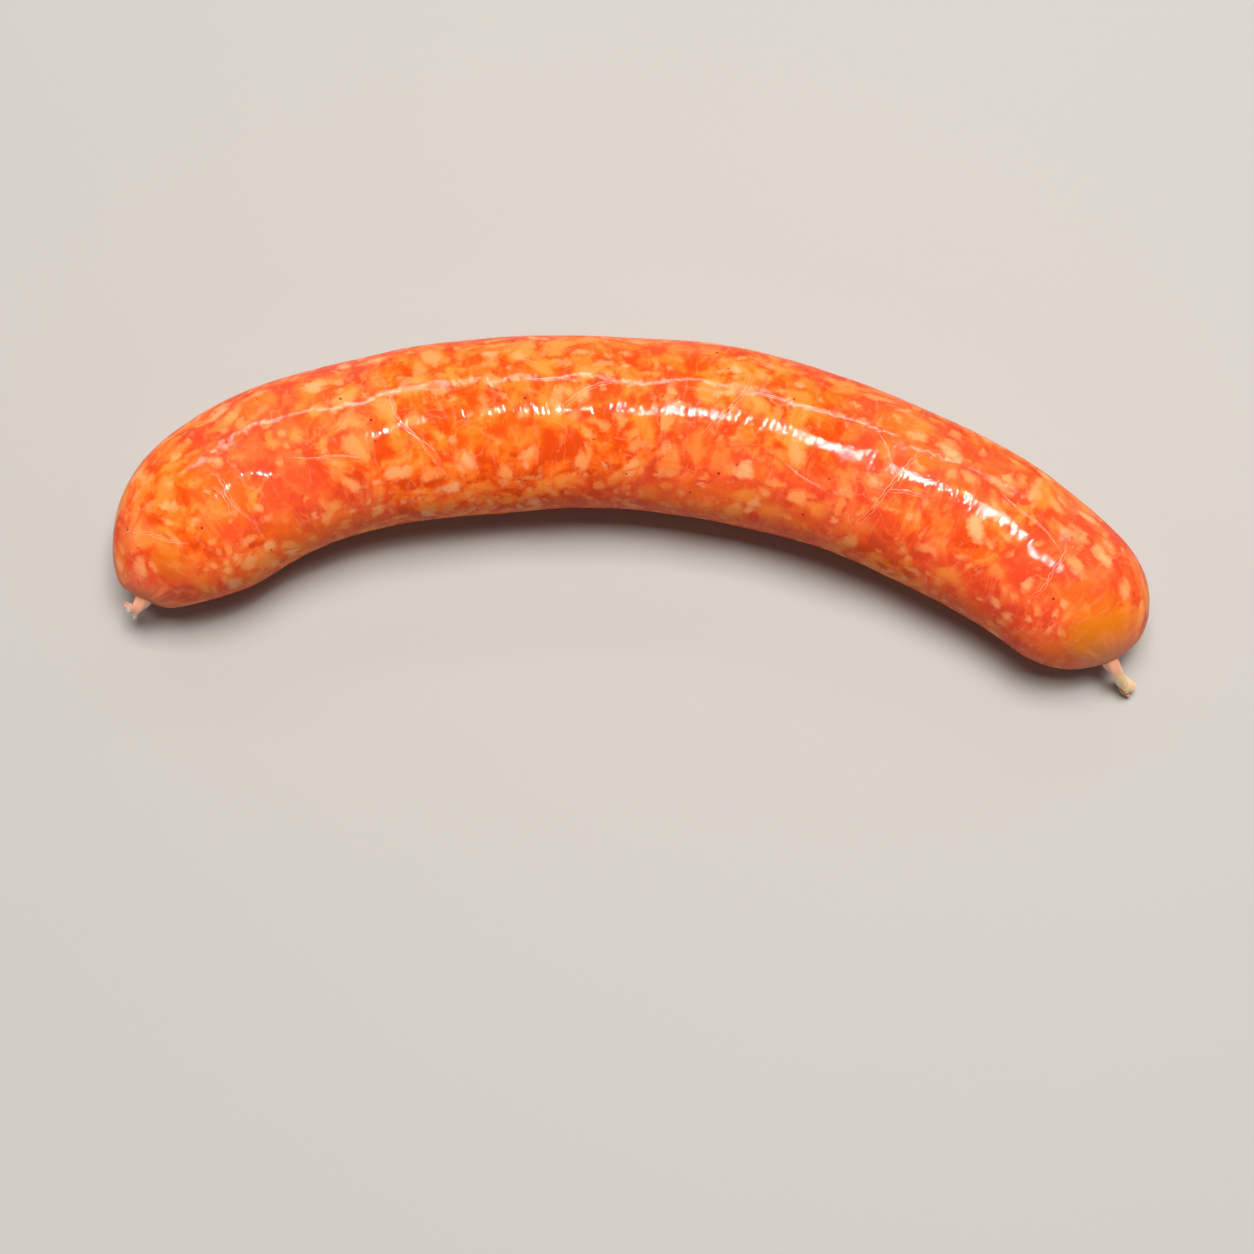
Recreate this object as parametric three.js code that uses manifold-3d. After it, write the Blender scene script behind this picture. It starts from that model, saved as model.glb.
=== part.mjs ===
// One raw sausage link in a natural casing, lying on its side on a flat surface.
// Millimetres, +Z up. The link runs along X and its bend bulges towards +Y.
// The filled casing and the cut, twisted casing tail at each end are one closed solid.
import * as THREE from "three";
import { mergeVertices } from "three/addons/utils/BufferGeometryUtils.js";
import Module from "manifold-3d";

// The filled casing, from tail root to tail root
const LINK_LENGTH = 185; // along the bent middle line
const CASING_RADIUS = 14.6; // at the middle of the link
const HEIGHT_SHARE = 0.94; // a soft link lies a little lower than it is wide
const SINK = 0.55; // depth of the filling pressed flat where the link rests
const LEFT_TAPER = 0.035; // share of the radius lost towards each end
const RIGHT_TAPER = 0.14;
const LEFT_DOME = { length: 21, power: 1.97, root: 0.63 }; // how each end closes
const RIGHT_DOME = { length: 14.5, power: 2.3, root: 0.53 };
const END_DROOP = 0.16; // share of its height that each tail root hangs lower

// The bend, as the heading of the middle line
const LEAN = 0.078; // radians that the middle of the link is turned clockwise
const BEND_RADIUS = 149;
const TIGHTENING = 0.215; // extra radians that the bend gains by each end
const LEFT_HOOK = { turn: 0.45, length: 48 }; // the ends curl in towards their tails
const RIGHT_HOOK = { turn: 0.29, length: 26 };

// Unevenness of the filling under the casing
const LUMPS = [
  { height: 0.3, along: 0.083, around: 1, phase: 0.4 },
  { height: 0.22, along: 0.151, around: 2, phase: 2.1 },
  { height: 0.15, along: 0.262, around: 3, phase: 4.4 },
  { height: 0.1, along: 0.437, around: 2, phase: 1.3 },
];
// Gathers of the casing that run into each tail, and where they fade at its root
const PLEATS = { count: 11, height: 0.2, reach: 8, rise: 1.2, fade: 0.3 };
// Creases that cross the casing: middle as a station and an angle, half size, height
const CREASES = [
  { station: -64, angle: 1.25, reach: 9, width: 1.3, slope: 0.055, height: -0.32 },
  { station: -22, angle: 1.0, reach: 8, width: 1.2, slope: -0.05, height: -0.26 },
  { station: 40, angle: 1.85, reach: 10, width: 1.4, slope: 0.045, height: -0.36 },
  { station: 72, angle: 1.3, reach: 7, width: 1.2, slope: -0.06, height: -0.28 },
];

// The tails: points from the root inside the filling, half width and half thickness
const TAIL_SINK = 2.2; // how far each root reaches into the filled casing
const TAIL_PINCH = { height: 0.16, folds: 3, turn: 4 }; // uneven folds of a tail
const RIGHT_TAIL = {
  turn: 1.9, // twist from root to tip, in radians
  sections: [
    { out: -TAIL_SINK, side: 0, drop: 0, width: 1.5, thick: 1.4 },
    { out: 0, side: 0, drop: 0.5, width: 1.5, thick: 1.25 },
    { out: 1.4, side: 0.8, drop: 2.4, width: 1.15, thick: 0.95 },
    { out: 2.5, side: 1.5, drop: 4.6, width: 1.35, thick: 0.85 },
    { out: 3.4, side: 2.2, drop: 6.2, width: 1.6, thick: 0.8 },
    { out: 4.1, side: 2.9, drop: 7.0, width: 1.4, thick: 0.8 },
    { out: 4.6, side: 3.2, drop: 7.2, width: 0.95, thick: 0.55 },
  ],
};
const RIGHT_CURL = {
  turn: 1.2,
  sections: [
    { out: 2.9, side: 1.8, drop: 6.5, width: 0.7, thick: 0.5 },
    { out: 3.4, side: 1.4, drop: 7.3, width: 0.65, thick: 0.45 },
    { out: 4.3, side: 1.5, drop: 7.7, width: 0.5, thick: 0.38 },
    { out: 5.0, side: 2.1, drop: 7.9, width: 0.36, thick: 0.3 },
    { out: 5.4, side: 2.6, drop: 7.9, width: 0.24, thick: 0.22 },
  ],
};
const LEFT_TAIL = {
  turn: -1.4,
  sections: [
    { out: -TAIL_SINK, side: 0, drop: 0, width: 1.6, thick: 1.3 },
    { out: 0.1, side: 0.3, drop: 0.5, width: 1.35, thick: 1.1 },
    { out: 0.7, side: 1.1, drop: 1.7, width: 1.1, thick: 0.9 },
    { out: 0.7, side: 2.0, drop: 2.8, width: 0.85, thick: 0.75 },
    { out: 0.3, side: 2.9, drop: 3.5, width: 0.7, thick: 0.65 },
    { out: 0.1, side: 3.5, drop: 3.7, width: 0.55, thick: 0.5 },
  ],
};
const LEFT_FORK = {
  turn: 0.8,
  sections: [
    { out: 0.5, side: 1.0, drop: 1.6, width: 0.7, thick: 0.65 },
    { out: 1.2, side: 1.2, drop: 2.9, width: 0.62, thick: 0.6 },
    { out: 1.5, side: 1.2, drop: 4.0, width: 0.58, thick: 0.55 },
    { out: 1.7, side: 1.1, drop: 4.6, width: 0.42, thick: 0.42 },
  ],
};

// How finely the surfaces are faceted
const RINGS = 84;
const SEGMENTS = 44;
const TAIL_RINGS = 14;
const TAIL_SEGMENTS = 14;
const SPINE_STEP = 0.25;
const END_CROWDING = 0.45; // how much closer the rings stand at both ends
const TAIL_SQUARENESS = 8; // a high power keeps a tail's cut ends blunt
const CLEARANCE = 0.05; // a tail may hang this close to the surface

const HALF_LENGTH = LINK_LENGTH / 2;

// Heading of the middle line at a station, in radians from +X
function headingAt(station) {
  const even = station / BEND_RADIUS + TIGHTENING * (station / HALF_LENGTH) ** 3;
  const fromLeft = station + HALF_LENGTH;
  const fromRight = HALF_LENGTH - station;
  const left = Math.max(0, 1 - fromLeft / LEFT_HOOK.length) ** 2 * LEFT_HOOK.turn;
  const right = Math.max(0, 1 - fromRight / RIGHT_HOOK.length) ** 2 * RIGHT_HOOK.turn;
  return -(LEAN + even - left + right);
}

// The middle line as a curve, walked outwards from the middle of the link
function makeSpine() {
  const walk = (direction) => {
    const points = [new THREE.Vector2(0, 0)];
    for (let gone = 0; gone < HALF_LENGTH; gone += SPINE_STEP) {
      const heading = headingAt(direction * (gone + SPINE_STEP / 2));
      const last = points[points.length - 1];
      const step = new THREE.Vector2(Math.cos(heading), Math.sin(heading));
      points.push(last.clone().addScaledVector(step, direction * SPINE_STEP));
    }
    return points;
  };
  const left = walk(-1);
  const right = walk(1);
  return [...left.reverse(), ...right.slice(1)];
}

const spine = makeSpine();

function spineAt(station) {
  const place = (station + HALF_LENGTH) / SPINE_STEP;
  const before = Math.min(Math.max(Math.floor(place), 0), spine.length - 2);
  return spine[before].clone().lerp(spine[before + 1], place - before);
}

// Radius of the filled casing without its domed ends
function fullRadiusAt(station) {
  const share = station / HALF_LENGTH;
  const taper = station < 0 ? LEFT_TAPER : RIGHT_TAPER;
  return CASING_RADIUS * (1 - taper * share * share);
}

// How far into an end's dome a station lies: 0 where it starts, 1 at the tail root
function domeShare(station) {
  const dome = station < 0 ? LEFT_DOME : RIGHT_DOME;
  return Math.min(1, Math.max(0, 1 - (HALF_LENGTH - Math.abs(station)) / dome.length));
}

function radiusAt(station) {
  const dome = station < 0 ? LEFT_DOME : RIGHT_DOME;
  return fullRadiusAt(station) * (1 - domeShare(station) ** dome.power) ** dome.root;
}

function heightAt(station) {
  const lying = HEIGHT_SHARE * fullRadiusAt(station);
  return lying * (1 - END_DROOP * domeShare(station) ** 2) - SINK;
}

// Extra radius from the lumps of the filling, the gathered ends and the creases
function reliefAt(station, angle) {
  let relief = 0;
  for (const lump of LUMPS) {
    const along = Math.sin(lump.along * station + lump.phase);
    relief += lump.height * along * Math.cos(lump.around * angle + lump.phase);
  }
  for (const crease of CREASES) {
    const turned = Math.atan2(Math.sin(angle - crease.angle), Math.cos(angle - crease.angle));
    const around = turned * CASING_RADIUS;
    const across = station - crease.station - crease.slope * around * around;
    const fade = Math.exp(-((across / crease.width) ** 2) - (around / crease.reach) ** 2);
    relief += crease.height * fade;
  }
  const fromRoot = HALF_LENGTH - Math.abs(station);
  const gather = Math.max(0, 1 - fromRoot / PLEATS.reach) ** PLEATS.rise;
  const fold = Math.cos(PLEATS.count * angle);
  const calm = Math.min(1, radiusAt(station) / (PLEATS.fade * CASING_RADIUS));
  return calm * (relief * (1 - gather) + PLEATS.height * gather * fold);
}

// Stations along an axis, closer together towards both ends
function stations(from, to, count) {
  return Array.from({ length: count + 1 }, (_, i) => {
    const even = i / count;
    const eased = even - Math.sin(2 * Math.PI * even) / (2 * Math.PI);
    return from + (to - from) * THREE.MathUtils.lerp(even, eased, END_CROWDING);
  });
}

// A lathe turned on +Y whose points are then placed by station, angle and radius
function latheAlong(rings, radius, segments, place) {
  const last = rings.length - 1;
  const profile = rings.map((s, i) => new THREE.Vector2(i % last ? radius(s) : 0, s));
  const lathe = new THREE.LatheGeometry(profile, segments);
  const position = lathe.getAttribute("position");
  for (let i = 0; i < position.count; i++) {
    const [x, station, z] = [position.getX(i), position.getY(i), position.getZ(i)];
    const placed = place(station, Math.atan2(x, z), Math.hypot(x, z));
    position.setXYZ(i, placed.x, placed.y, placed.z);
  }
  lathe.deleteAttribute("normal");
  lathe.deleteAttribute("uv");
  return mergeVertices(lathe, 1e-4);
}

// The filled casing, with its underside pressed flat on the surface
function makeFilledCasing() {
  return latheAlong(stations(-HALF_LENGTH, HALF_LENGTH, RINGS), radiusAt, SEGMENTS, place);

  function place(station, angle, radius) {
    const centre = spineAt(station);
    const heading = headingAt(station);
    const raised = radius > 0 ? radius + reliefAt(station, angle) : 0;
    const aside = raised * Math.cos(angle);
    const up = raised * Math.sin(angle) * HEIGHT_SHARE;
    return new THREE.Vector3(
      centre.x - Math.sin(heading) * aside,
      centre.y + Math.cos(heading) * aside,
      Math.max(0, heightAt(station) + up),
    );
  }
}

// One strand of a tail: a flattened tube through its sections, twisted as it goes.
// out runs on from the middle line, side towards the outer bend, and drop downwards.
function makeStrand(end, strand) {
  const station = end * HALF_LENGTH;
  const root = spineAt(station);
  const heading = headingAt(station);
  const out = new THREE.Vector3(Math.cos(heading), Math.sin(heading), 0).multiplyScalar(end);
  const side = new THREE.Vector3(-Math.sin(heading), Math.cos(heading), 0);
  const middle = new THREE.CatmullRomCurve3(
    strand.sections.map((at) =>
      new THREE.Vector3(root.x, root.y, heightAt(station) - at.drop)
        .addScaledVector(out, at.out)
        .addScaledVector(side, at.side),
    ),
  );
  const sizes = new THREE.CatmullRomCurve3(
    strand.sections.map((at) => new THREE.Vector3(at.width, at.thick, 0)),
  );
  const closing = (share) => Math.sqrt(1 - (2 * share - 1) ** TAIL_SQUARENESS);
  return latheAlong(stations(0, 1, TAIL_RINGS), closing, TAIL_SEGMENTS, place);

  function place(share, angle, radius) {
    const centre = middle.getPoint(share);
    const size = sizes.getPoint(share);
    const along = middle.getTangent(share);
    const flat = new THREE.Vector3(0, 0, 1).cross(along).normalize();
    const thick = along.clone().cross(flat);
    flat.applyAxisAngle(along, strand.turn * share);
    thick.applyAxisAngle(along, strand.turn * share);
    const fold = Math.cos(TAIL_PINCH.folds * angle + TAIL_PINCH.turn * share);
    const pinch = 1 - TAIL_PINCH.height * fold;
    centre.addScaledVector(flat, size.x * radius * pinch * Math.cos(angle));
    centre.addScaledVector(thick, size.y * radius * pinch * Math.sin(angle));
    centre.z = Math.max(CLEARANCE, centre.z);
    return centre;
  }
}

const wasm = await Module();
wasm.setup();

function toSolid(geometry) {
  const made = new wasm.Manifold(
    new wasm.Mesh({
      numProp: 3,
      vertProperties: geometry.getAttribute("position").array,
      triVerts: new Uint32Array(geometry.index.array),
    }),
  );
  if (made.volume() < 0) throw new Error("a surface faces inwards");
  return made;
}

function toGeometry(solid) {
  const mesh = solid.getMesh();
  return new THREE.BufferGeometry()
    .setAttribute("position", new THREE.BufferAttribute(mesh.vertProperties, 3))
    .setIndex(new THREE.BufferAttribute(mesh.triVerts, 1));
}

let whole = toSolid(makeFilledCasing());
for (const [end, strand] of [
  [-1, LEFT_TAIL],
  [-1, LEFT_FORK],
  [1, RIGHT_TAIL],
  [1, RIGHT_CURL],
]) {
  whole = whole.add(toSolid(makeStrand(end, strand)));
}

// The origin is under the middle of the link's box, on the surface it lies on
const geometry = toGeometry(whole);
geometry.computeBoundingBox();
const middle = geometry.boundingBox.getCenter(new THREE.Vector3());
geometry.translate(-middle.x, -middle.y, -geometry.boundingBox.min.z);
geometry.computeVertexNormals();

const wetCasing = new THREE.MeshStandardMaterial({
  name: "wet_casing",
  color: 0xe8622e,
  roughness: 0.28,
  metalness: 0,
});
const sausage = new THREE.Mesh(geometry, wetCasing);
sausage.name = "sausage";

const link = new THREE.Group();
link.name = "sausage_link";
link.add(sausage);

export default link;
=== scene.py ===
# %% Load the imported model
import math

import bmesh
import bpy
import numpy as np
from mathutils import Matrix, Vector


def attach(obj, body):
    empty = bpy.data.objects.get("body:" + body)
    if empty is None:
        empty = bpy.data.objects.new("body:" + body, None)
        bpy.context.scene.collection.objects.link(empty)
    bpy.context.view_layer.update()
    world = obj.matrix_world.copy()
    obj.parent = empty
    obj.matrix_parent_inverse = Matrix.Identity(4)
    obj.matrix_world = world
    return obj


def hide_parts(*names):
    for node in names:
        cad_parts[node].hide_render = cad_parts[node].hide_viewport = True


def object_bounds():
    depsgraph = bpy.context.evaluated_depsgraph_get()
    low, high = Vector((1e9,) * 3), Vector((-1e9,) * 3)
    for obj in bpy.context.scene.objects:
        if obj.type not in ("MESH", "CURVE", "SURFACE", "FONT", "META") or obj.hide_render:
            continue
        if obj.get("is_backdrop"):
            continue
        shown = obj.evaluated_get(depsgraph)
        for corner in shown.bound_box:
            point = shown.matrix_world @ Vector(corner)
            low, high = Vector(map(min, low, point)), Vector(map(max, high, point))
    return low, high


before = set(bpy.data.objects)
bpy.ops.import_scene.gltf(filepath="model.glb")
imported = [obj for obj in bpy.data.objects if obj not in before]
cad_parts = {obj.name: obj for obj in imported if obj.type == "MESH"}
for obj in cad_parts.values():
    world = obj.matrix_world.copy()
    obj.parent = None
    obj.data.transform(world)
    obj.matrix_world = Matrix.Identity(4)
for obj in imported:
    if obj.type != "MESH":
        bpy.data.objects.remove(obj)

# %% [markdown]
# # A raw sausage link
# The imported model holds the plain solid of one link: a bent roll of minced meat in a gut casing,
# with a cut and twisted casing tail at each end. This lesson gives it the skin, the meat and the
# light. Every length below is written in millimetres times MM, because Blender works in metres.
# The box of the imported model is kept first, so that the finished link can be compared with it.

MM = 0.001
cad_low, cad_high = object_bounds()
print("packed model:", [round((b - a) / MM, 1) for a, b in zip(cad_low, cad_high)], "mm")

# %% [markdown]
# ## How the link lies
# A stuffed casing is a roll of nearly even thickness that is easiest to model straight. Its bend
# belongs to its middle line, so that line is written down once, as a heading that turns slowly
# from one end to the other and a little faster close to the tails. Every later piece, the skin,
# the threads on it and the tails, takes its place from this one line.

# %% The middle line
LINK_LENGTH = 185 * MM
HALF_LENGTH = LINK_LENGTH / 2
LEAN = 0.078
BEND_RADIUS = 149 * MM
TIGHTENING = 0.215
LEFT_HOOK = (0.45, 48 * MM)
RIGHT_HOOK = (0.29, 26 * MM)
MIDDLE_OF_LINK = Vector((0.2514 * MM, 14.7071 * MM, 0))
LINE_STEP = 0.25 * MM


def heading_at(station):
    """Direction of the middle line, in radians from +X, at a distance from its middle."""
    even = station / BEND_RADIUS + TIGHTENING * (station / HALF_LENGTH) ** 3
    left = max(0, 1 - (HALF_LENGTH + station) / LEFT_HOOK[1]) ** 2 * LEFT_HOOK[0]
    right = max(0, 1 - (HALF_LENGTH - station) / RIGHT_HOOK[1]) ** 2 * RIGHT_HOOK[0]
    return -(LEAN + even - left + right)


def walk_line(direction):
    """Points of the middle line from its middle to one end."""
    points = [MIDDLE_OF_LINK.copy()]
    for i in range(round(HALF_LENGTH / LINE_STEP)):
        turned = heading_at(direction * (i + 0.5) * LINE_STEP)
        step = Vector((math.cos(turned), math.sin(turned), 0))
        points.append(points[-1] + direction * LINE_STEP * step)
    return points


middle_line = walk_line(-1)[:0:-1] + walk_line(1)


def line_at(station):
    """Point of the middle line at a station, flat on the board."""
    place = (station + HALF_LENGTH) / LINE_STEP
    before = min(max(int(place), 0), len(middle_line) - 2)
    return middle_line[before].lerp(middle_line[before + 1], place - before)


print("middle line:", len(middle_line), "points,", round(LINK_LENGTH / MM), "mm")

# %% [markdown]
# ## The roll of filling
# The roll could be a sculpted sphere or a curve with a thick bevel. A ring that is extruded step
# by step is closer to how a casing is filled: each step pulls the open end a little further and
# sets how wide the filling is there. The two ends close in a dome towards the tail, and the right
# end of this link is the slimmer one. The link is modelled straight, along X.

# %% Thickness of the roll
CASING_RADIUS = 14.6 * MM
LEFT_TAPER, RIGHT_TAPER = 0.035, 0.14
LEFT_DOME = (21 * MM, 1.97, 0.63)
RIGHT_DOME = (14.5 * MM, 2.3, 0.53)


def dome_share(station):
    """0 where an end starts to close and 1 at its tail."""
    reach = LEFT_DOME[0] if station < 0 else RIGHT_DOME[0]
    return min(1, max(0, 1 - (HALF_LENGTH - abs(station)) / reach))


def full_radius(station):
    taper = LEFT_TAPER if station < 0 else RIGHT_TAPER
    return CASING_RADIUS * (1 - taper * (station / HALF_LENGTH) ** 2)


def roll_radius(station):
    _, power, root = LEFT_DOME if station < 0 else RIGHT_DOME
    return full_radius(station) * (1 - dome_share(station) ** power) ** root


# %% Extrude the roll ring by ring
RINGS = 84
RING_VERTICES = 44
CROWDING = 0.45


def start_piece():
    """Leaves nothing selected, so that an operator acts on the new piece alone."""
    if bpy.context.mode != "OBJECT":
        bpy.ops.object.mode_set(mode="OBJECT")
    bpy.ops.object.select_all(action="DESELECT")


def ring_station(i):
    """Stations of the rings, closer together towards both ends."""
    even = i / RINGS
    eased = even - math.sin(2 * math.pi * even) / (2 * math.pi)
    return -HALF_LENGTH + LINK_LENGTH * (CROWDING * eased + (1 - CROWDING) * even)


start_piece()
bpy.ops.mesh.primitive_circle_add(
    vertices=RING_VERTICES,
    radius=roll_radius(ring_station(1)),
    fill_type="NGON",
    location=(ring_station(1), 0, 0),
    rotation=(0, math.pi / 2, 0),
)
skin = bpy.context.object
skin.name = "filled_casing"
bpy.ops.object.transform_apply(location=True, rotation=True, scale=True)
bpy.ops.object.mode_set(mode="EDIT")
bpy.ops.mesh.select_all(action="SELECT")
for i in range(2, RINGS):
    here, there = ring_station(i - 1), ring_station(i)
    wider = roll_radius(there) / roll_radius(here)
    bpy.ops.mesh.extrude_region_move(TRANSFORM_OT_translate={"value": (there - here, 0, 0)})
    bpy.ops.transform.resize(value=(1, wider, wider), center_override=(there, 0, 0))
bpy.ops.mesh.poke(offset=HALF_LENGTH - ring_station(RINGS - 1))
bpy.ops.mesh.select_all(action="DESELECT")
bpy.ops.mesh.select_mode(type="EDGE")
bpy.ops.mesh.select_non_manifold()
bpy.ops.mesh.edge_face_add()
bpy.ops.mesh.select_mode(type="FACE")
bpy.ops.mesh.normals_make_consistent(inside=False)
bpy.ops.mesh.poke(offset=ring_station(1) + HALF_LENGTH)
bpy.ops.mesh.select_all(action="SELECT")
bpy.ops.mesh.normals_make_consistent(inside=False)
bpy.ops.object.mode_set(mode="OBJECT")
print("roll:", len(skin.data.polygons), "faces, size", [round(d / MM, 1) for d in skin.dimensions])

# %% [markdown]
# ## A mesh fine enough for the skin
# The rings are rounded off with a Subdivision Surface modifier, applied twice over, which leaves
# faces of about half a millimetre. The straight place of each point is then kept on the mesh as
# an attribute: station, sideways and height in millimetres. Once the link is bent, the pattern of
# the meat and the fine wrinkles can still follow the casing through it.

# %% Subdivide and remember the straight link
SUBDIVISIONS = 2


def apply_subdivision(piece, levels):
    modifier = piece.modifiers.new("finer", "SUBSURF")
    modifier.levels = modifier.render_levels = levels
    bpy.context.view_layer.objects.active = piece
    bpy.ops.object.modifier_apply(modifier=modifier.name)


def points_of(piece):
    """The points of a mesh as rows of x, y and z."""
    flat = np.empty(len(piece.data.vertices) * 3)
    piece.data.vertices.foreach_get("co", flat)
    return flat.reshape(-1, 3)


def move_points(piece, points):
    piece.data.vertices.foreach_set("co", points.ravel())
    piece.data.update()


apply_subdivision(skin, SUBDIVISIONS)
straight = points_of(skin)
unbent = skin.data.attributes.new("unbent", "FLOAT_VECTOR", "POINT")
unbent.data.foreach_set("vector", (straight / MM).ravel())
print("skin:", len(skin.data.vertices), "points")

# %% [markdown]
# ## Lumps, creases and gathers
# A filled casing is never an even tube. The coarse filling swells and sinks by a few tenths of a
# millimetre, a few creases cross the skin, and close to each tail the casing is gathered in
# pleats. Sculpting by hand would do, but waves and soft dents on each point are exact, and they
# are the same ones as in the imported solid. The clouds texture adds the small bumps of the fat.

# %% Relief of the skin
LUMPS = [  # height, waves along, waves around, phase
    (0.3, 0.083, 1, 0.4),
    (0.22, 0.151, 2, 2.1),
    (0.15, 0.262, 3, 4.4),
    (0.1, 0.437, 2, 1.3),
]
CREASES = [  # station, angle, reach around, width, slope, height
    (-64, 1.25, 9, 1.3, 0.055, -0.32),
    (-22, 1.0, 8, 1.2, -0.05, -0.26),
    (40, 1.85, 10, 1.4, 0.045, -0.36),
    (72, 1.3, 7, 1.2, -0.06, -0.28),
]
PLEATS = (11, 0.2, 8, 1.2, 0.3)  # count, height, reach, rise, fade at the tail
FINE_PLEATS = (29, 0.1, 5.5, 0.9, 0.12)


def relief_at(station, angle, radius):
    """Extra radius of the skin, all in millimetres and radians."""
    relief = np.zeros_like(station)
    for height, along, around, phase in LUMPS:
        relief += height * np.sin(along * station + phase) * np.cos(around * angle + phase)
    for middle, turned, reach, width, slope, height in CREASES:
        around = (angle - turned + math.pi) % (2 * math.pi) - math.pi
        around *= CASING_RADIUS / MM
        across = station - middle - slope * around**2
        relief += height * np.exp(-((across / width) ** 2) - (around / reach) ** 2)
    from_root = HALF_LENGTH / MM - np.abs(station)
    folds = np.zeros_like(station)
    for count, height, reach, rise, fade in (PLEATS, FINE_PLEATS):
        gather = np.clip(1 - from_root / reach, 0, None) ** rise
        calm = np.clip(radius / (fade * CASING_RADIUS / MM), 0, 1)
        folds += calm * gather * height * np.cos(count * angle)
    calm = np.clip(radius / (PLEATS[4] * CASING_RADIUS / MM), 0, 1)
    settled = np.clip(1 - from_root / PLEATS[2], 0, None) ** PLEATS[3]
    return calm * relief * (1 - settled) + folds


station, sideways, upwards = (straight / MM).T
radius = np.hypot(sideways, upwards)
angle = np.arctan2(upwards, sideways)
relief = relief_at(station, angle, radius)
raised = radius + np.where(radius > 0, relief, 0)
uneven = np.stack([station, raised * np.cos(angle), raised * np.sin(angle)], axis=1)
move_points(skin, uneven * MM)
print("relief from", round(relief.min(), 2), "to", round(relief.max(), 2), "mm")

# %% Small bumps of fat under the skin
BUMPS = [  # size of a bump, height
    (5.2 * MM, 0.14 * MM),
    (2.3 * MM, 0.06 * MM),
]
BUMP_DEPTH = 1
for size, height in BUMPS:
    clouds = bpy.data.textures.new("fat_bumps", "CLOUDS")
    clouds.noise_scale = size
    clouds.noise_depth = BUMP_DEPTH
    bumps = skin.modifiers.new("bumps", "DISPLACE")
    bumps.texture = clouds
    bumps.texture_coords = "LOCAL"
    bumps.mid_level = 0.5
    bumps.strength = height
    bpy.context.view_layer.objects.active = skin
    bpy.ops.object.modifier_apply(modifier=bumps.name)

# %% [markdown]
# ## Laid on its side
# Raw filling is soft. The link settles until it is a little lower than it is wide, its tails hang
# below the middle, and its underside is pressed flat on the board. The bend itself comes from a
# Curve modifier that follows the middle line, which keeps every ring square to it.

# %% Settle, bend and flatten
HEIGHT_SHARE = 0.94
END_DROOP = 0.16
SINK = 0.55 * MM


def lying_height(station):
    """Height of the middle line above the board."""
    lying = HEIGHT_SHARE * full_radius(station)
    return lying * (1 - END_DROOP * dome_share(station) ** 2) - SINK


settled = points_of(skin)
heights = np.array([lying_height(min(max(s, -HALF_LENGTH), HALF_LENGTH)) for s in settled[:, 0]])
settled[:, 2] = settled[:, 2] * HEIGHT_SHARE + heights
settled[:, 0] += HALF_LENGTH
move_points(skin, settled)

bend = bpy.data.curves.new("middle_line", "CURVE")
bend.dimensions = "3D"
bend.twist_mode = "Z_UP"
spline = bend.splines.new("POLY")
spline.points.add(len(middle_line) - 1)
for point, place in zip(spline.points, middle_line):
    point.co = (*place, 1)
bend_guide = bpy.data.objects.new("middle_line", bend)
bpy.context.collection.objects.link(bend_guide)
follow = skin.modifiers.new("bend", "CURVE")
follow.object = bend_guide
bpy.ops.object.modifier_apply(modifier=follow.name)
bpy.data.objects.remove(bend_guide)

bpy.ops.object.mode_set(mode="EDIT")
bpy.ops.mesh.select_mode(type="VERT")
bpy.ops.mesh.select_all(action="DESELECT")
shape = bmesh.from_edit_mesh(skin.data)
for vertex in shape.verts:
    vertex.select = vertex.co.z < 0
shape.select_flush_mode()
pressed = sum(vertex.select for vertex in shape.verts)
bmesh.update_edit_mesh(skin.data)
bpy.ops.transform.resize(value=(1, 1, 0), center_override=(0, 0, 0))
bpy.ops.object.mode_set(mode="OBJECT")
start_piece()
skin.select_set(True)
bpy.context.view_layer.objects.active = skin
bpy.ops.object.shade_smooth()
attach(skin, "root")
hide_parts("sausage")
print("pressed flat:", pressed, "points; size", [round(d / MM, 1) for d in skin.dimensions])

# %% [markdown]
# ## The tails
# Each end of the link was twisted shut and cut off, which leaves a short rope of wet casing. A
# strand could be extruded ring by ring too, but a curve with a folded outline swept along it is
# quicker to pose, and the tilt of its points gives the twist. The right tail ends in a blunt fold
# with one thin shred beside it, and the left one is forked. All four hang towards the board.

# %% A folded outline to sweep
FOLDS = [1.0, 0.72, 0.95, 0.8, 1.05, 0.7, 0.9, 0.76]  # reach of each fold of the outline
THINNESS = 0.82


def make_fold_outline():
    outline = bpy.data.curves.new("fold_outline", "CURVE")
    outline.dimensions = "2D"
    line = outline.splines.new("NURBS")
    count = 2 * len(FOLDS)
    line.points.add(count - 1)
    for i, point in enumerate(line.points):
        angle = 2 * math.pi * i / count
        reach = FOLDS[i // 2]
        point.co = (reach * math.cos(angle), reach * THINNESS * math.sin(angle), 0, 1)
    line.use_cyclic_u = True
    line.resolution_u = 2
    made = bpy.data.objects.new("fold_outline", outline)
    bpy.context.collection.objects.link(made)
    return made


fold_outline = make_fold_outline()

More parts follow.
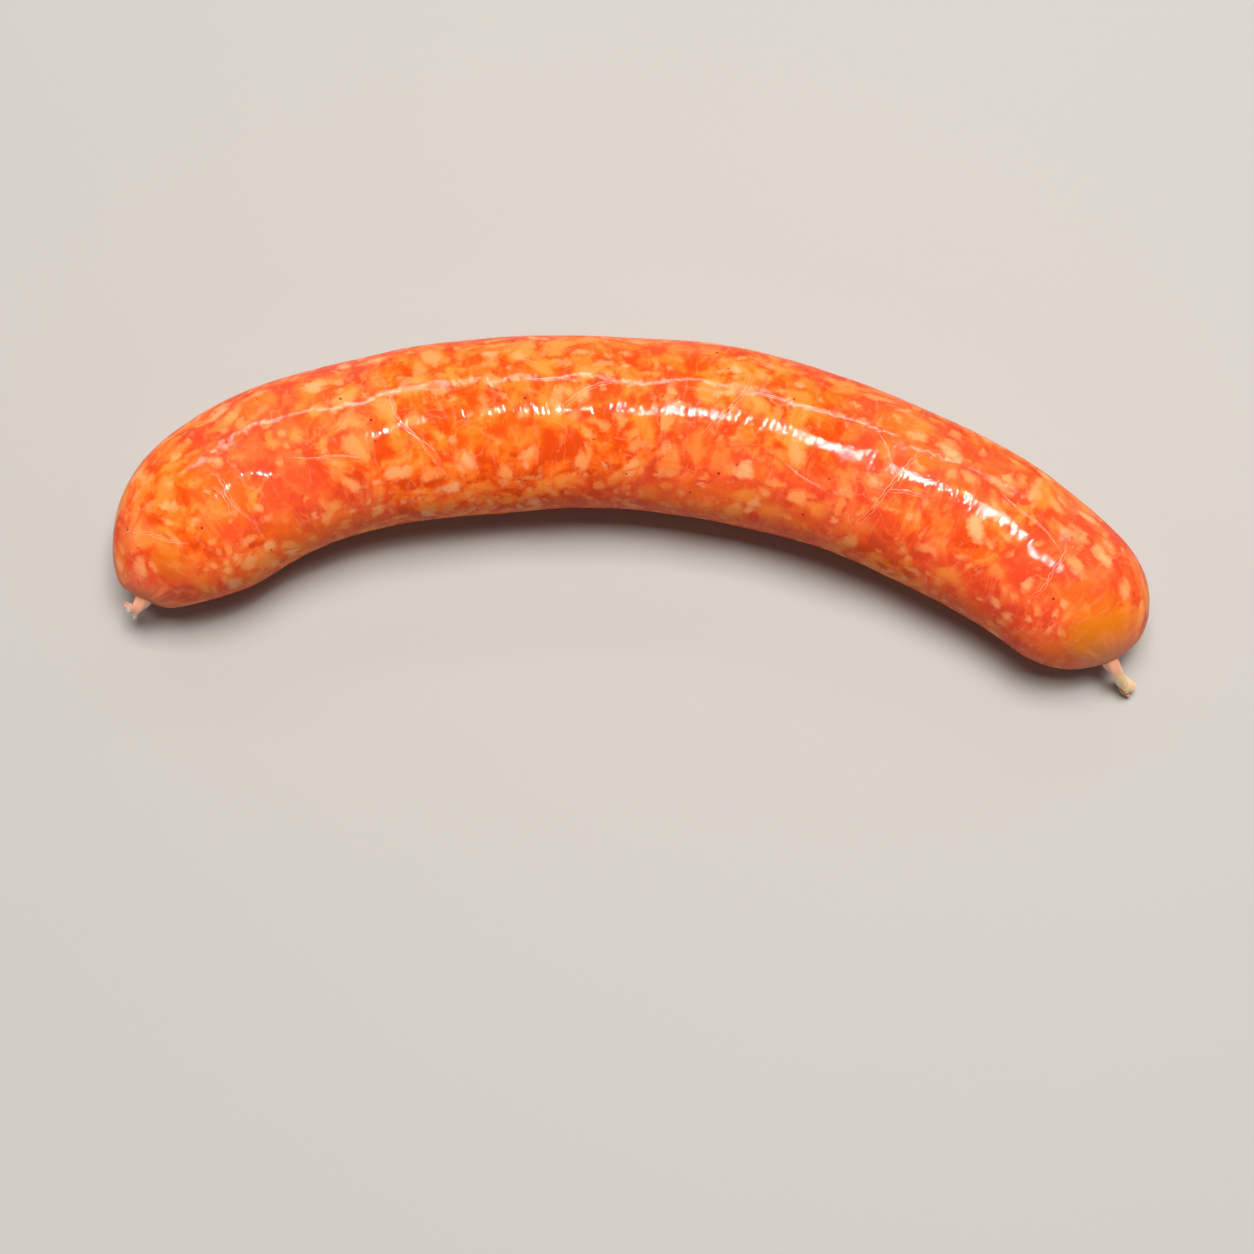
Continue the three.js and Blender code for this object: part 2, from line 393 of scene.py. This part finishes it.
# %% Sweep one strand
RIGHT_TAIL = [  # out, towards the outer bend, down, half width
    (-2.2, 0, 0, 1.5),
    (0, 0, 0.5, 1.5),
    (1.4, 0.8, 2.4, 1.45),
    (2.5, 1.5, 4.6, 1.5),
    (3.4, 2.2, 6.2, 1.6),
    (4.1, 2.9, 7.0, 1.45),
    (4.6, 3.2, 7.2, 1.0),
]
RIGHT_SHRED = [
    (2.9, 1.8, 6.5, 0.7),
    (3.4, 1.4, 7.3, 0.65),
    (4.3, 1.5, 7.7, 0.5),
    (5.0, 2.1, 7.9, 0.36),
    (5.4, 2.6, 7.9, 0.2),
]
LEFT_TAIL = [
    (-2.2, 0, 0, 1.6),
    (0.1, 0.3, 0.5, 1.35),
    (0.7, 1.1, 1.7, 1.1),
    (0.7, 2.0, 2.8, 0.85),
    (0.3, 2.9, 3.5, 0.7),
    (0.1, 3.5, 3.7, 0.5),
]
LEFT_FORK = [
    (0.5, 1.0, 1.6, 0.75),
    (1.2, 1.2, 2.9, 0.66),
    (1.5, 1.2, 4.0, 0.6),
    (1.7, 1.1, 4.6, 0.42),
]
WELD = 0.01 * MM


def sweep_strand(name, end, sections, twist):
    """A strand of casing at the left end (-1) or the right end (1), twisted by some radians."""
    root_station = end * HALF_LENGTH
    turned = heading_at(root_station)
    out = end * Vector((math.cos(turned), math.sin(turned), 0))
    side = Vector((-math.sin(turned), math.cos(turned), 0))
    root = line_at(root_station) + Vector((0, 0, lying_height(root_station)))
    path = bpy.data.curves.new(name, "CURVE")
    path.dimensions = "3D"
    path.bevel_mode = "OBJECT"
    path.bevel_object = fold_outline
    path.use_fill_caps = True
    line = path.splines.new("NURBS")
    line.points.add(len(sections) - 1)
    for i, (along, aside, drop, half_width) in enumerate(sections):
        place = root + (out * along + side * aside - Vector((0, 0, drop))) * MM
        line.points[i].co = (*place, 1)
        line.points[i].radius = half_width * MM
        line.points[i].tilt = twist * i / (len(sections) - 1)
    line.order_u = 4
    line.use_endpoint_u = True
    line.resolution_u = 6
    strand = bpy.data.objects.new(name, path)
    bpy.context.collection.objects.link(strand)
    start_piece()
    strand.select_set(True)
    bpy.context.view_layer.objects.active = strand
    bpy.ops.object.convert(target="MESH")
    bpy.ops.object.mode_set(mode="EDIT")
    bpy.ops.mesh.select_all(action="SELECT")
    bpy.ops.mesh.remove_doubles(threshold=WELD)
    bpy.ops.mesh.normals_make_consistent(inside=False)
    bpy.ops.object.mode_set(mode="OBJECT")
    apply_subdivision(strand, 1)
    bpy.ops.object.shade_smooth()
    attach(strand, "root")
    print(name, len(strand.data.polygons), "faces")
    return strand


tails = [
    sweep_strand("tail_right", 1, RIGHT_TAIL, 3.4),
    sweep_strand("tail_right_shred", 1, RIGHT_SHRED, 2.6),
    sweep_strand("tail_left", -1, LEFT_TAIL, -2.8),
    sweep_strand("tail_left_fork", -1, LEFT_FORK, 2.0),
]
bpy.data.objects.remove(fold_outline)

# %% [markdown]
# ## Threads in the casing
# Gut casing keeps fine whitish threads, where the fat was scraped off. They stand a little above
# the skin and catch the light. Painting them would lose that, so each thread is a very thin curve
# through a few places on the skin, given by station and angle. Where it lies is found by a ray
# from the middle line outwards. It wanders a little, both ends run out into nothing, and a finer
# thread runs beside it. All of them are joined into one piece.

# %% Lay the threads on the skin
THREADS = [  # half thickness, then station and angle in degrees of each bend
    (0.05, [(-41, 72), (-38, 73), (-34, 74), (-30, 77), (-28, 77)]),
    (0.05, [(-19, 75), (-15, 74), (-12, 73), (-8, 76)]),
    (0.05, [(6, 75), (10, 74), (14, 74), (18, 70), (21, 69), (27, 70), (32, 68), (37, 69)]),
    (0.06, [(-42, 40), (-40, 58), (-39, 76), (-39, 90), (-36, 106), (-34, 124), (-31, 142)]),
    (0.05, [(-40, 88), (-37, 104), (-34, 114), (-33, 122)]),
    (0.05, [(-13, 104), (-11, 92), (-8, 82), (-5, 76), (-1, 74)]),
    (0.06, [(41, 142), (43, 128), (44, 112), (45, 98), (46, 84), (47, 72), (52, 62)]),
    (0.05, [(45, 97), (43, 88), (41, 76), (38, 68)]),
    (0.05, [(44, 110), (47, 104), (52, 102)]),
    (0.06, [(75, 126), (76, 112), (75, 98), (75, 84), (73, 68)]),
    (0.06, [(-70, 74), (-69, 90), (-70, 106), (-69, 120), (-68, 132)]),
    (0.05, [(-71, 88), (-70, 102), (-71, 116)]),
    (0.06, [(-85, 40), (-84, 60), (-83, 80), (-82, 100), (-80, 112)]),
    (0.05, [(11, 112), (13, 99), (16, 82), (18, 66), (18, 52)]),
    (0.05, [(-58, 96), (-54, 104), (-50, 106), (-45, 114)]),
    (0.04, [(26, 112), (30, 120), (35, 123)]),
    (0.05, [(60, 70), (64, 76), (70, 76), (75, 84)]),
]
THREAD_SINK = 0.35  # share of its half thickness that a thread lies in the skin
STEPS_PER_BEND = 8
SMOOTHING = 7  # neighbours averaged to round a bend
SLOW_WANDER = (0.2, 1.3)  # reach, and radians per step
QUICK_WANDER = (0.12, 3.1)
FINE_SHARE = 0.7  # thickness of the finer thread
FINE_OFFSET = 0.45  # millimetres from the first thread to the finer one


def skin_point(station, degrees):
    """Point of the skin straight out from the middle line, and the way out."""
    turned = heading_at(station)
    spread = math.radians(degrees)
    side = Vector((-math.sin(turned), math.cos(turned), 0))
    way_out = (side * math.cos(spread) + Vector((0, 0, math.sin(spread)))).normalized()
    start = line_at(station) + Vector((0, 0, lying_height(station)))
    found, place, _, _ = skin.ray_cast(start, way_out)
    if not found:
        raise ValueError(f"no skin at station {station}")
    return place, way_out


def smoothed(values):
    """Rounds the bends of a thread by averaging neighbours."""
    padded = np.pad(values, SMOOTHING // 2, mode="edge")
    return np.convolve(padded, np.ones(SMOOTHING) / SMOOTHING, "valid")


def wander_at(step, beside):
    """How far a thread strays at a step, in millimetres."""
    slow = SLOW_WANDER[0] * math.sin(SLOW_WANDER[1] * step + 4 * beside)
    return slow + QUICK_WANDER[0] * math.sin(QUICK_WANDER[1] * step + 1)


def lay_thread(half_thickness, bends, beside=0.0):
    """A thread through its bends, or one that runs some millimetres beside them."""
    path = bpy.data.curves.new("thread", "CURVE")
    path.dimensions = "3D"
    path.bevel_depth = half_thickness * MM
    path.bevel_resolution = 1
    stations, angles = zip(*bends)
    steps = np.linspace(0, len(bends) - 1, STEPS_PER_BEND * (len(bends) - 1) + 1)
    along = smoothed(np.interp(steps, range(len(bends)), stations))
    around = smoothed(np.interp(steps, range(len(bends)), angles))
    line = path.splines.new("POLY")
    line.points.add(len(steps) - 1)
    for i in range(len(steps)):
        wander = wander_at(i, beside)
        station = along[i] + 0.5 * wander + beside
        place, way_out = skin_point(station * MM, around[i] + wander + 3 * beside)
        line.points[i].co = (*(place - THREAD_SINK * half_thickness * MM * way_out), 1)
        line.points[i].radius = math.sin(math.pi * (i + 0.3) / (len(steps) - 0.4)) ** 0.5
    thread = bpy.data.objects.new("thread", path)
    bpy.context.collection.objects.link(thread)
    return thread


start_piece()
laid = [lay_thread(*thread) for thread in THREADS]
laid += [lay_thread(FINE_SHARE * half, bends, FINE_OFFSET) for half, bends in THREADS]
for thread in laid:
    thread.select_set(True)
bpy.context.view_layer.objects.active = laid[0]
bpy.ops.object.convert(target="MESH")
bpy.ops.object.join()
threads = bpy.context.object
threads.name = "casing_threads"
bpy.ops.object.shade_smooth()
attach(threads, "root")
print("threads:", len(laid), "with", len(threads.data.polygons), "faces")

# %% [markdown]
# ## Tools for the materials
# The finishes are made of nodes. Small helpers keep them readable: they turn a colour as seen on
# a screen into the light values that Blender reckons with, add a node and fill its sockets, cut a
# soft-edged mask out of a pattern, lay colours over each other, and push a pattern out of shape.

# %% Node helpers
def tint(seen):
    """A screen colour such as fd8340 as linear red, green, blue and 1."""
    shares = [int(seen[i : i + 2], 16) / 255 for i in (0, 2, 4)]
    return (*(s / 12.92 if s < 0.04045 else ((s + 0.055) / 1.055) ** 2.4 for s in shares), 1)


def add(tree, kind, sockets=(), **settings):
    """Adds a node. Each socket gets a number, a colour or a link from another node's socket."""
    made = tree.nodes.new("ShaderNode" + kind)
    for name, value in settings.items():
        setattr(made, name, value)
    for name, value in dict(sockets).items():
        if isinstance(value, bpy.types.NodeSocket):
            tree.links.new(value, made.inputs[name])
        else:
            made.inputs[name].default_value = value
    return made


def mask(tree, value, low, high, top=1.0):
    """0 where value is below low, up to top above high, with a soft edge between."""
    sockets = {"Value": value, "From Min": low, "From Max": high, "To Max": top}
    made = add(tree, "MapRange", sockets, interpolation_type="SMOOTHSTEP")
    return made.outputs["Result"]


def over(tree, share, under, upper):
    """Lays one colour over another by a share."""
    sockets = {0: share, 6: under, 7: upper}
    return add(tree, "Mix", sockets, data_type="RGBA", clamp_factor=True).outputs[2]


def maths(tree, operation, *values):
    """One step of reckoning with sockets or numbers."""
    return add(tree, "Math", enumerate(values), operation=operation).outputs[0]


def shift(tree, where, pattern, reach):
    """Moves a place by a colour pattern around grey, as far as reach in millimetres."""
    centred = add(tree, "VectorMath", {0: pattern, 1: (0.5, 0.5, 0.5)}, operation="SUBTRACT")
    scaled = add(tree, "VectorMath", {0: centred.outputs[0], "Scale": reach}, operation="SCALE")
    return add(tree, "VectorMath", {0: where, 1: scaled.outputs[0]}).outputs[0]


def noise(tree, where, size, detail=2.0, roughness=0.5):
    """Soft noise whose waves are about that many millimetres long."""
    sockets = {"Vector": where, "Scale": 1 / size, "Detail": detail, "Roughness": roughness}
    return add(tree, "TexNoise", sockets)


def pieces_of(tree, where, size, smoothness):
    """Rounded cells of about that size in millimetres, each with its own random colour."""
    sockets = {"Vector": where, "Scale": 1 / size, "Smoothness": smoothness}
    return add(tree, "TexVoronoi", sockets, feature="SMOOTH_F1")


def new_finish(name):
    """An empty material with its shader and output."""
    made = bpy.data.materials.new(name)
    made.use_nodes = True
    tree = made.node_tree
    tree.nodes.clear()
    shader = add(tree, "BsdfPrincipled")
    output = add(tree, "OutputMaterial")
    tree.links.new(shader.outputs[0], output.inputs[0])
    return made, tree, shader


# %% [markdown]
# ## The meat behind the skin
# Coarse mince is a mosaic: lean that runs from pink-red to orange with the paprika, cream bits of
# fat two to four millimetres wide, and fine shreds between them, all with soft edges because the
# wet skin lies over them. A flat picture would stretch on the domes. A pattern that fills space
# and is read at the straight place of each point cuts through the mince as the skin does. The
# place is pushed about three times first, so that no cell or cloud keeps its neat outline.

# %% Lean
meat, tree, shader = new_finish("wet_casing_over_mince")
place = add(tree, "Attribute", attribute_name="unbent").outputs["Vector"]
SWIRL = (9, 1, 6)  # size of the waves, detail, reach
RAG = (1.6, 1.5, 1.0)
TEAR = (0.9, 2.0, 1.3)


def pushed(tree, where, waves):
    """Pushes a place about by waves that are read at the straight place."""
    size, detail, reach = waves
    return shift(tree, where, noise(tree, place, size, detail).outputs["Color"], reach)


swirled = pushed(tree, place, SWIRL)
ragged = pushed(tree, swirled, RAG)
torn = pushed(tree, ragged, TEAR)

lean_clouds = mask(tree, noise(tree, ragged, 3.2, 3.5, 0.6).outputs["Fac"], 0.32, 0.68)
lean_cells = add(tree, "SeparateColor", {0: pieces_of(tree, ragged, 3.4, 0.6).outputs["Color"]})
CELL_SHARE = 0.5  # the rest of the tone comes from the clouds
cloud_part = maths(tree, "MULTIPLY", lean_clouds, 1 - CELL_SHARE)
lean_tone = maths(tree, "MULTIPLY_ADD", lean_cells.outputs[0], CELL_SHARE, cloud_part)
lean_ramp = add(tree, "ValToRGB", {0: lean_tone})
LEAN_TONES = [  # place on the ramp, colour
    (0.22, "da460e"),
    (0.4, "f05614"),
    (0.54, "f96a1c"),
    (0.66, "fb7a28"),
    (0.84, "fc8b3a"),
]
stops = lean_ramp.color_ramp.elements
while len(stops) < len(LEAN_TONES):
    stops.new(0.5)
for stop, (position, seen) in zip(stops, LEAN_TONES):
    stop.position = position
    stop.color = tint(seen)
mince = lean_ramp.outputs[0]

PINK_LEAN, ORANGE_LEAN = "e84a32", "fb7a16"
pink_zones = mask(tree, noise(tree, place, 24, 1).outputs["Fac"], 0.46, 0.62, 0.6)
mince = over(tree, pink_zones, mince, tint(PINK_LEAN))
orange_zones = mask(tree, noise(tree, swirled, 13, 2).outputs["Fac"], 0.52, 0.68, 0.4)
mince = over(tree, orange_zones, mince, tint(ORANGE_LEAN))
print("lean:", len(tree.nodes), "nodes")

# %% Bits of fat
CELL_RANDOMNESS = 0.85
SIZE_SPREAD = 0.14  # how much smaller some bits are
BIT_REACH = (0.46, 0.54)  # where the inner edge of a bit and its outer edge lie, in cells
BORDER = 0.16  # width of the soft edge along the border of a cell


def fat_bits(tree, where, spacing, share, soft):
    """Soft-edged bits in a share of the cells of a spacing in millimetres, and their lot."""
    sockets = {"Vector": where, "Scale": 1 / spacing, "Randomness": CELL_RANDOMNESS}
    cells = add(tree, "TexVoronoi", sockets, feature="F1")
    borders = add(tree, "TexVoronoi", sockets, feature="DISTANCE_TO_EDGE").outputs["Distance"]
    lot = add(tree, "SeparateColor", {0: cells.outputs["Color"]})
    chosen = maths(tree, "LESS_THAN", lot.outputs[0], share)
    reach = maths(tree, "MULTIPLY_ADD", lot.outputs[1], SIZE_SPREAD, cells.outputs["Distance"])
    outside = mask(tree, reach, BIT_REACH[0] - soft, BIT_REACH[1])
    round_off = maths(tree, "SUBTRACT", 1.0, outside)
    inside = maths(tree, "MULTIPLY", round_off, mask(tree, borders, 0.0, BORDER))
    return maths(tree, "MULTIPLY", chosen, inside), lot.outputs[2]


FAT_BITS = [  # stretch, spacing, share of the cells, width of the edge, strength, two tones
    ((1, 1, 1), 6.6, 0.45, 0.3, 0.7, "fc882c", "fc9c48"),
    ((1, 1, 1), 4.6, 0.42, 0.26, 0.85, "fc9042", "fdb27c"),
    ((0.5, 1.1, 1.1), 3.0, 0.3, 0.26, 0.6, "fc8c3c", "fda668"),
    ((1.2, 0.5, 0.9), 3.0, 0.3, 0.26, 0.6, "fc8c3c", "fda668"),
    ((1, 1, 1), 2.5, 0.34, 0.26, 0.6, "fc9042", "fdac74"),
]
for stretch, spacing, share, soft, strength, dull, pale in FAT_BITS:
    stretched = add(tree, "VectorMath", {0: torn, 1: stretch}, operation="MULTIPLY").outputs[0]
    bits, lot = fat_bits(tree, stretched, spacing, share, soft)
    tone = over(tree, lot, tint(dull), tint(pale))
    mince = over(tree, maths(tree, "MULTIPLY", bits, strength), mince, tone)

SHRED_STRENGTH, SHRED_COLOUR = 0.25, "fd9a6c"
shred_noise = noise(tree, swirled, 5, 2, 0.5).outputs["Fac"]
shred_line = maths(tree, "ABSOLUTE", maths(tree, "SUBTRACT", shred_noise, 0.5))
off_line = mask(tree, shred_line, 0.004, 0.025, SHRED_STRENGTH)
shreds = maths(tree, "SUBTRACT", SHRED_STRENGTH, off_line)
shred_zone = mask(tree, noise(tree, place, 6, 1).outputs["Fac"], 0.52, 0.62)
mince = over(tree, maths(tree, "MULTIPLY", shreds, shred_zone), mince, tint(SHRED_COLOUR))
print("with fat:", len(tree.nodes), "nodes")

# %% Amber fat pockets and pepper
POCKETS = [  # station, sideways, height, radius, strength
    (88, -1, 7, 8.5, 0.9),
    (-84, -3, 9, 4.0, 0.5),
    (-52, -8, -11, 7.0, 0.6),
    (56, 8, -9, 6.0, 0.5),
]
AMBER, PEPPER = "e67c12", "6a1c10"
POCKET_CORE = 0.45  # share of the radius that is full amber
for *middle, reach, strength in POCKETS:
    centre = {0: swirled, 1: middle}
    away = add(tree, "VectorMath", centre, operation="DISTANCE").outputs["Value"]
    faded = mask(tree, away, POCKET_CORE * reach, reach, strength)
    mince = over(tree, maths(tree, "SUBTRACT", strength, faded), mince, tint(AMBER))

PEPPER_SPACING = 4.3
PEPPER_EDGE = (0.045, 0.075)  # inner and outer edge of a speck, in cells
PEPPER_STRENGTH = 0.8
pepper = add(tree, "TexVoronoi", {"Vector": place, "Scale": 1 / PEPPER_SPACING}, feature="F1")
off_speck = mask(tree, pepper.outputs["Distance"], *PEPPER_EDGE, PEPPER_STRENGTH)
speck = maths(tree, "SUBTRACT", PEPPER_STRENGTH, off_speck)
mince = over(tree, speck, mince, tint(PEPPER))
print("with pockets and pepper:", len(tree.nodes), "nodes")

# %% [markdown]
# ## The casing itself
# Over the meat lies a thin wet skin. It is clear where it is stretched and paler where it is
# gathered, at the tails and along fine fibres. Along its tiny wrinkles its colour is made a little
# paler as well, which is a painted sheen. Its gloss is a clear coat whose tiny wrinkles run around
# the link, so that a highlight breaks into short bright streaks, while the soft ripples below them
# only bend it.
# The base below the coat has no gloss of its own, or the pale floor would veil the rim of the link.

# %% Casing colour and wrinkles
straight_place = add(tree, "SeparateXYZ", {0: place})
along, aside, height = straight_place.outputs
around = maths(tree, "MULTIPLY", maths(tree, "ARCTAN2", aside, height), CASING_RADIUS / MM)
flat_skin = add(tree, "CombineXYZ", {0: along, 1: around}).outputs[0]
rolled_out = shift(tree, flat_skin, noise(tree, flat_skin, 11, 1).outputs["Color"], 5)

FIBRE_COLOUR, PAINTED_SHEEN_COLOUR, GATHERED_COLOUR = "fea27a", "fe9c70", "ee9070"
wrinkle_place = add(tree, "VectorMath", {0: rolled_out, 1: (1.0, 0.13, 1.0)}, operation="MULTIPLY")
wrinkles = noise(tree, wrinkle_place.outputs[0], 0.95, 2.0, 0.6).outputs["Fac"]
ripples = noise(tree, rolled_out, 3.4, 2, 0.5).outputs["Fac"]

fibre_place = add(tree, "VectorMath", {0: rolled_out, 1: (0.35, 1.0, 1.0)}, operation="MULTIPLY")
fibre_noise = noise(tree, fibre_place.outputs[0], 7, 4, 0.62).outputs["Fac"]
fibre_line = maths(tree, "ABSOLUTE", maths(tree, "SUBTRACT", fibre_noise, 0.5))
fibre = maths(tree, "SUBTRACT", 1.0, mask(tree, fibre_line, 0.0, 0.012))
fibre_zone = mask(tree, noise(tree, rolled_out, 14, 1).outputs["Fac"], 0.5, 0.62)
fibre = maths(tree, "MULTIPLY", fibre, fibre_zone)
film = over(tree, maths(tree, "MULTIPLY", fibre, 0.2), mince, tint(FIBRE_COLOUR))
# Painted sheen: along the tiny wrinkles the casing colour is made paler, as if they caught the
# light.
film = over(tree, mask(tree, wrinkles, 0.54, 0.72, 0.18), film, tint(PAINTED_SHEEN_COLOUR))

from_middle = maths(tree, "ABSOLUTE", along)
pleat_wave = noise(tree, rolled_out, 1.6, 2).outputs["Fac"]
gather_from = maths(tree, "ADD", from_middle, maths(tree, "MULTIPLY", pleat_wave, 4.0))
gathered = mask(tree, gather_from, 89.5, 95.5, 0.75)
film = over(tree, gathered, film, tint(GATHERED_COLOUR))
tree.links.new(film, shader.inputs["Base Color"])

# %% Casing relief and gloss
RIPPLE_HEIGHT = 0.08 * MM
WRINKLE_HEIGHT = 0.14 * MM
LEAST_ROUGHNESS, ROUGHNESS_SPREAD = 0.36, 0.12


def relief_of(tree, pattern, height, under=None):
    """Relief of a pattern as a surface direction, over another relief if there is one."""
    sockets = {"Strength": 1.0, "Distance": height, "Height": pattern}
    if under is not None:
        sockets["Normal"] = under
    return add(tree, "Bump", sockets).outputs[0]


soft_relief = relief_of(tree, ripples, RIPPLE_HEIGHT)
wrinkle_relief = relief_of(tree, wrinkles, WRINKLE_HEIGHT, soft_relief)
tree.links.new(soft_relief, shader.inputs["Normal"])
tree.links.new(wrinkle_relief, shader.inputs["Coat Normal"])
worn = maths(tree, "ADD", LEAST_ROUGHNESS, mask(tree, ripples, 0.3, 0.7, ROUGHNESS_SPREAD))
tree.links.new(worn, shader.inputs["Roughness"])
for name, value in {
    "Coat Weight": 0.4,
    "Coat Roughness": 0.07,
    "Coat IOR": 1.3,
    "Specular IOR Level": 0.0,
    "Subsurface Weight": 0.18,
    "Subsurface Radius": (1.0, 0.35, 0.15),
    "Subsurface Scale": 1.6 * MM,
}.items():
    shader.inputs[name].default_value = value
skin.data.materials.clear()
skin.data.materials.append(meat)
print("skin finish:", len(tree.nodes), "nodes")

# %% [markdown]
# ## Bare casing
# The tails and threads are casing with nothing behind it: cream to pinkish, a little see-through,
# deeper in colour where the folds lie, and stained by the meat close to the root of a tail. One
# recipe serves them all. Each piece gets its own colours and its own size of folds, read at the
# object's own coordinates because these pieces are too short for the bend to matter.

# %% Finish of the tails and threads
STAIN = "e9a585"
STAINED, CLEAN = 1.4, 3.6  # millimetres from the root of the tail
FOLD_HEIGHT = 0.12 * MM


def bare_casing(name, pale, deep, fold_size, end=0):
    """Casing with nothing behind it, stained near the tail root at an end if one is given."""
    made, tree, shader = new_finish(name)
    where = add(tree, "TexCoord").outputs["Object"]
    in_mm = add(tree, "VectorMath", {0: where, "Scale": 1 / MM}, operation="SCALE").outputs[0]
    folds = noise(tree, in_mm, fold_size, 3, 0.6).outputs["Fac"]
    colour = over(tree, mask(tree, folds, 0.42, 0.68), tint(pale), tint(deep))
    if end:
        station = end * HALF_LENGTH
        root = (line_at(station) + Vector((0, 0, lying_height(station)))) / MM
        away = add(tree, "VectorMath", {0: in_mm, 1: root}, operation="DISTANCE").outputs["Value"]
        clean = mask(tree, away, STAINED, CLEAN)
        colour = over(tree, clean, tint(STAIN), colour)
    tree.links.new(colour, shader.inputs["Base Color"])
    relief = relief_of(tree, folds, FOLD_HEIGHT)
    tree.links.new(relief, shader.inputs["Normal"])
    tree.links.new(relief, shader.inputs["Coat Normal"])
    for socket, value in {
        "Roughness": 0.42,
        "Coat Weight": 0.8,
        "Coat Roughness": 0.12,
        "Subsurface Weight": 0.35,
        "Subsurface Radius": (1.0, 0.55, 0.35),
        "Subsurface Scale": 1.0 * MM,
    }.items():
        shader.inputs[socket].default_value = value
    return made


TAIL_FINISHES = [
    bare_casing("cream_casing", "f6d3a2", "e0a86a", 1.5, 1),
    bare_casing("dried_casing", "d8934c", "b4682c", 0.9),
    bare_casing("pink_casing", "efbcaa", "de9484", 1.3, -1),
    bare_casing("pale_pink_casing", "f0c6b8", "e2a090", 1.1),
]
thread_casing = bare_casing("thread_casing", "fdb48c", "fb8c58", 1.0)
for piece, finish in zip(tails, TAIL_FINISHES):
    piece.data.materials.clear()
    piece.data.materials.append(finish)
threads.data.materials.clear()
threads.data.materials.append(thread_casing)
print("bare casing:", len(TAIL_FINISHES) + 1, "finishes")

# %% [markdown]
# ## Floor, light and camera
# A plain pale floor takes the shadow. Gloss and shade are lit apart, as a studio does with flags
# and screens. A long strip light on the far side draws the thin highlight along the upper part of
# the link, and two narrow soft boxes above, to the right, give the broad bright patches: these
# three light no matt surface. A large ceiling light shades the meat and the floor, and leaves no
# highlight. The camera looks down steeply, as over a board on a table.

# %% Floor
FLOOR_SIZE = 6.0
FLOOR_COLOUR, FLOOR_ROUGHNESS = "a9a6a1", 0.7
start_piece()
bpy.ops.mesh.primitive_plane_add(size=FLOOR_SIZE)
floor = bpy.context.object
floor.name = "floor"
floor_finish, tree, shader = new_finish("pale_floor")
shader.inputs["Base Color"].default_value = tint(FLOOR_COLOUR)
shader.inputs["Roughness"].default_value = FLOOR_ROUGHNESS
floor.data.materials.append(floor_finish)
floor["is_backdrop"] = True

# %% Lights
def add_light(name, place, target, size, power, colour):
    """An area light of size (width, height) in metres, turned towards target."""
    bpy.ops.object.light_add(type="AREA", location=place)
    light = bpy.context.object
    light.name = name
    light.data.shape = "RECTANGLE"
    light.data.size, light.data.size_y = size
    light.data.energy = power
    light.data.color = colour
    away = Vector(place) - Vector(target)
    light.rotation_euler = away.to_track_quat("Z", "Y").to_euler()
    return light


WARM_WHITE = (1.0, 0.98, 0.95)
STRIP_POWER, BOX_POWER, CEILING_POWER = 6.0, 6.5, 142
WORLD_STRENGTH = 0.12
BOX_PLACES = (0.1, 0.165)  # metres along X
strip_size, box_size, ceiling_size = (0.9, 0.04), (0.035, 0.18), (1.6, 1.4)
strip = add_light(
    "strip_light", (-0.02, 0.52, 0.47), (0, 0.01, 0.02), strip_size, STRIP_POWER, WARM_WHITE
)
soft_boxes = [
    add_light("soft_box", (along, 0.11, 0.75), (0, 0, 0.01), box_size, BOX_POWER, WARM_WHITE)
    for along in BOX_PLACES
]
ceiling = add_light(
    "ceiling_light", (0.1, 0.62, 3.0), (0, 0, 0), ceiling_size, CEILING_POWER, WARM_WHITE
)
for light in (strip, *soft_boxes):
    light.visible_diffuse = False
ceiling.visible_glossy = False
world = bpy.data.worlds.new("studio")
bpy.context.scene.world = world
world.use_nodes = True
sky = world.node_tree.nodes["Background"]
sky.inputs["Color"].default_value = (*WARM_WHITE, 1)
sky.inputs["Strength"].default_value = WORLD_STRENGTH
bpy.context.scene.view_settings.view_transform = "Standard"
print("lights:", len(soft_boxes) + 2)

# %% Camera
PHOTO_PIXELS = 1254
PIXEL = 0.165 * MM
PHOTO_WIDTH = PHOTO_PIXELS * PIXEL
LENS = 90
SENSOR = 36
ELEVATION = math.radians(79)
NEAREST = 0.01
looked_at = Vector((-0.6, -19.8, 13)) * MM
towards_camera = Vector((0, -math.cos(ELEVATION), math.sin(ELEVATION)))
bpy.ops.object.camera_add(location=looked_at + towards_camera * PHOTO_WIDTH * LENS / SENSOR)
camera = bpy.context.object
camera.data.lens = LENS
camera.data.sensor_width = SENSOR
camera.data.clip_start = NEAREST
camera.rotation_euler = towards_camera.to_track_quat("Z", "Y").to_euler()
bpy.context.scene.camera = camera
print("camera:", round(PHOTO_WIDTH / MM), "mm wide at the link")

# %% Write the sizes and finish
visual_low, visual_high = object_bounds()
grown = [(v - c) / MM for v, c in zip((*visual_low, *visual_high), (*cad_low, *cad_high))]
print("visual box minus packed box, mm:", [round(g, 2) for g in grown])
